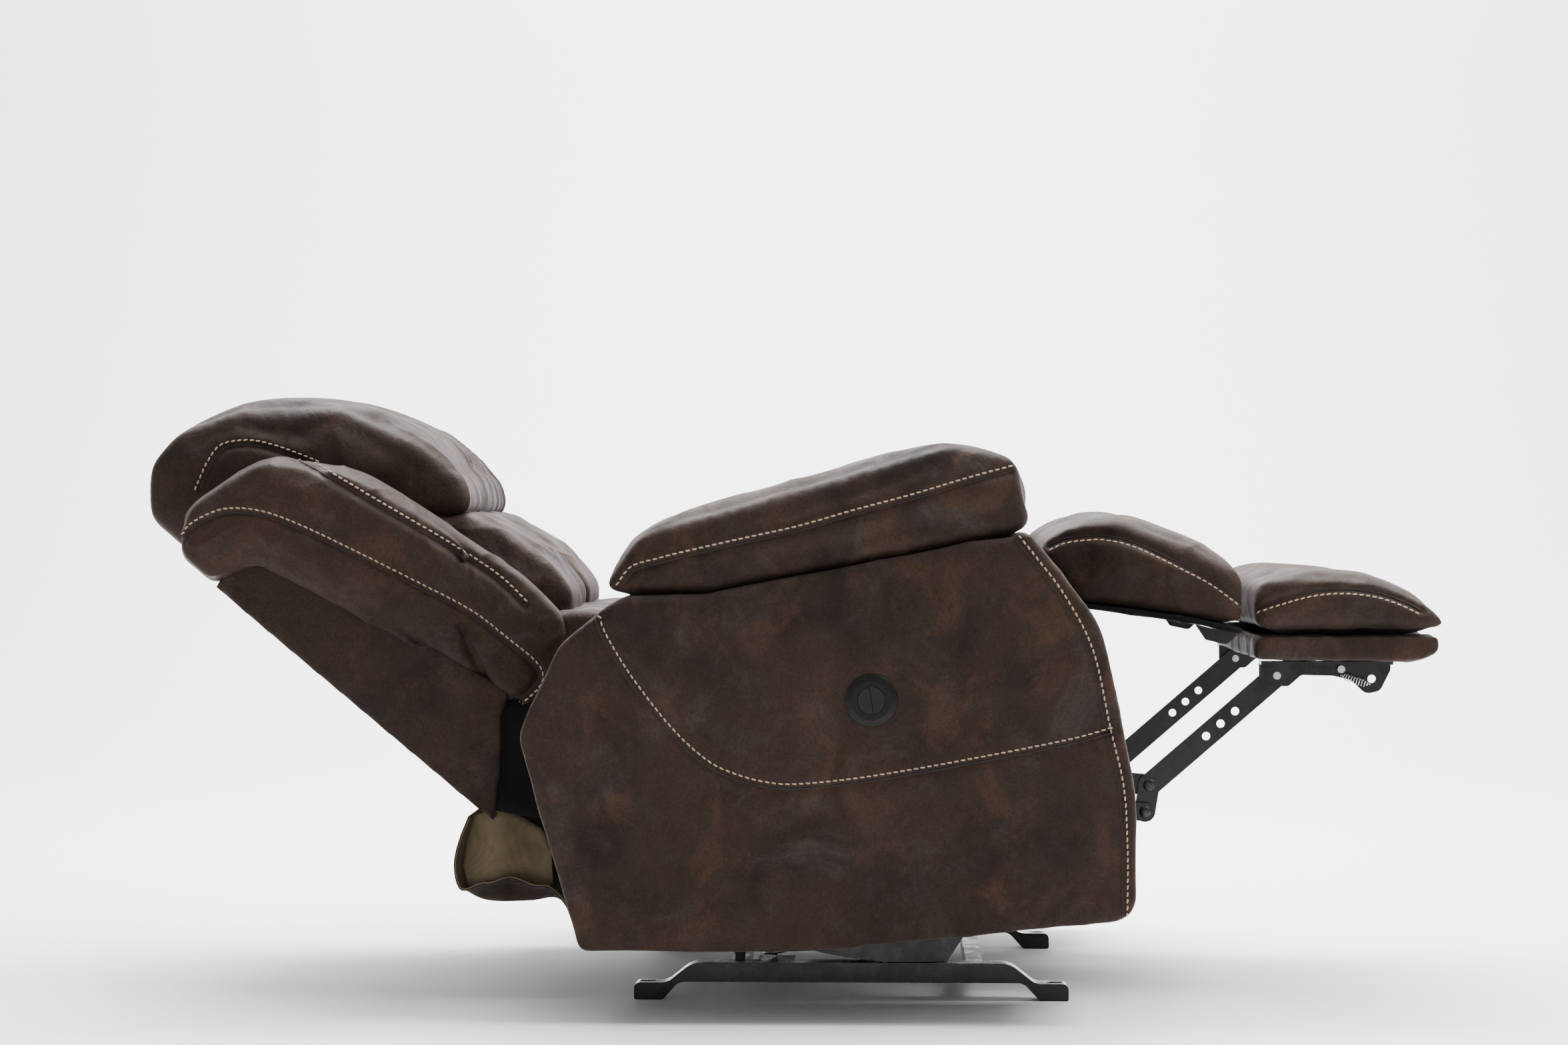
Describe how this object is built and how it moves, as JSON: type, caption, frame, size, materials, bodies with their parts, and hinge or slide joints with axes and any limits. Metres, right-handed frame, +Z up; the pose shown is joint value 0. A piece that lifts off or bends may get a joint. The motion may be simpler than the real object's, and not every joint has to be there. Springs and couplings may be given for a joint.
{
  "type": "power rocker recliner armchair",
  "caption": "Overstuffed power recliner armchair on a rocker base, with a reclining back, a scissor-link footrest and a two-button switch.",
  "frame": {"origin": "centre of the rocker base's footprint, on the floor", "axes": "+Z up, -Y the way the sitter faces, -X the sitter's right; at rest the chair is rocked back and fully reclined with the footrest out"},
  "size_m": [1.0056, 1.7362, 0.8042],
  "materials": {
    "brown_cover": "soft matt brown cover with tan stitching",
    "black_cloth": "black dust cloth",
    "khaki_cloth": "khaki lining cloth",
    "frame_wood": "raw plywood and pine",
    "black_plastic": "moulded, satin",
    "button_plastic": "moulded, satin",
    "stop_rubber": "moulded rubber",
    "spring_steel": "drawn wire",
    "zinc_steel": "zinc plated",
    "black_steel": "black enamel, semi-gloss"
  },
  "bodies": {
    "base": {"base_rail_right": "black_steel", "base_rail_left": "black_steel", "base_cross_tubes": "black_steel", "base_spring_seats": "black_steel"},
    "chassis": {"actuator_housing": "black_plastic", "arm_frame_left": "frame_wood", "arm_frame_right": "frame_wood", "arm_pad_left": "brown_cover", "arm_pad_right": "brown_cover", "arm_panel_left": "brown_cover", "arm_panel_right": "brown_cover", "chaise_hinge_rod": "zinc_steel", "chassis_cross_tubes": "black_steel", "chassis_spring_brackets": "black_steel", "drive_motor": "black_plastic", "fixed_pins": "zinc_steel", "power_inlet": "black_plastic", "rear_stops": "stop_rubber", "rocker_cam_left": "black_steel", "rocker_cam_right": "black_steel", "rocker_springs": "spring_steel", "seat_cushion": "brown_cover", "seat_frame": "frame_wood", "seat_front_panel": "black_cloth", "seat_springs": "spring_steel", "side_plate_left": "black_steel", "side_plate_right": "black_steel", "switch_bezel": "black_plastic"},
    "backrest": {"back_cover": "brown_cover", "back_frame": "frame_wood", "back_springs": "spring_steel", "back_bracket_right": "black_steel", "back_bracket_left": "black_steel", "wing_bolster_right": "brown_cover", "wing_bolster_left": "brown_cover", "head_pillow": "brown_cover", "lumbar_pillow_right": "brown_cover", "lumbar_pillow_left": "brown_cover", "rear_flap": "khaki_cloth"},
    "footrest_drive": {"torque_tube": "black_steel", "drive_link_right": "black_steel", "drive_link_left": "black_steel", "drive_lever": "black_steel", "elbow_pins": "zinc_steel"},
    "ottoman_links": {"ottoman_link_right": "black_steel", "ottoman_link_left": "black_steel", "tail_pins": "zinc_steel"},
    "guide_links": {"guide_link_right": "black_steel", "guide_link_left": "black_steel"},
    "footrest": {"ottoman_bracket_right": "black_steel", "ottoman_bracket_left": "black_steel", "footrest_hardware": "zinc_steel", "footrest_board": "brown_cover", "footrest_pad": "brown_cover"},
    "chaise": {"chaise_pad": "brown_cover", "chaise_board": "black_cloth", "chaise_hangers": "black_steel"},
    "actuator_rod": {"actuator_rod": "zinc_steel"},
    "button_open": {"button_open": "button_plastic"},
    "button_close": {"button_close": "button_plastic"}
  },
  "joints": [
    {"name": "rock", "type": "hinge", "parent": "base", "child": "chassis", "pos_m": [0, -0.074, 0.5583], "axis": [1, 0, 0], "range_deg": [0, 6], "deforming": ["rocker_springs"]},
    {"name": "recline", "type": "hinge", "parent": "chassis", "child": "backrest", "pos_m": [0, 0.395, 0.37], "axis": [1, 0, 0], "range_deg": [0, 34], "deforming": ["rear_flap"]},
    {"name": "footrest_drive", "type": "hinge", "parent": "chassis", "child": "footrest_drive", "pos_m": [0, -0.236, 0.2997], "axis": [1, 0, 0], "range_deg": [0, 94.89]},
    {"name": "elbow", "type": "hinge", "parent": "footrest_drive", "child": "ottoman_links", "pos_m": [0, -0.3971, 0.2856], "axis": [1, 0, 0], "range_deg": [-110.74, 0]},
    {"name": "bracket_pivot", "type": "hinge", "parent": "ottoman_links", "child": "footrest", "pos_m": [0, -0.566, 0.432], "axis": [1, 0, 0], "range_deg": [0, 105.85]},
    {"name": "guide_pivot", "type": "hinge", "parent": "chassis", "child": "guide_links", "pos_m": [0, -0.2384, 0.2553], "axis": [1, 0, 0], "range_deg": [0, 98.05]},
    {"name": "chaise_hinge", "type": "hinge", "parent": "chassis", "child": "chaise", "pos_m": [0, -0.2484, 0.5988], "axis": [1, 0, 0], "range_deg": [0, 27.44]},
    {"name": "actuator_slide", "type": "slide", "parent": "chassis", "child": "actuator_rod", "axis": [0, 1, 0], "range_m": [0, 0.10386]},
    {"name": "open_press", "type": "slide", "parent": "chassis", "child": "button_open", "axis": [1, 0, 0], "range_m": [0, 0.002], "stiffness_N_per_m": 800},
    {"name": "close_press", "type": "slide", "parent": "chassis", "child": "button_close", "axis": [1, 0, 0], "range_m": [0, 0.002], "stiffness_N_per_m": 800}
  ],
  "couplings": [
    {"joint": "elbow", "follows": "footrest_drive", "ratio": -1.1671},
    {"joint": "bracket_pivot", "follows": "footrest_drive", "ratio": 1.1155},
    {"joint": "guide_pivot", "follows": "footrest_drive", "ratio": 1.0333},
    {"joint": "chaise_hinge", "follows": "footrest_drive", "ratio": 0.28919},
    {"joint": "actuator_slide", "follows": "footrest_drive", "m_per_rad": 0.062708}
  ]
}
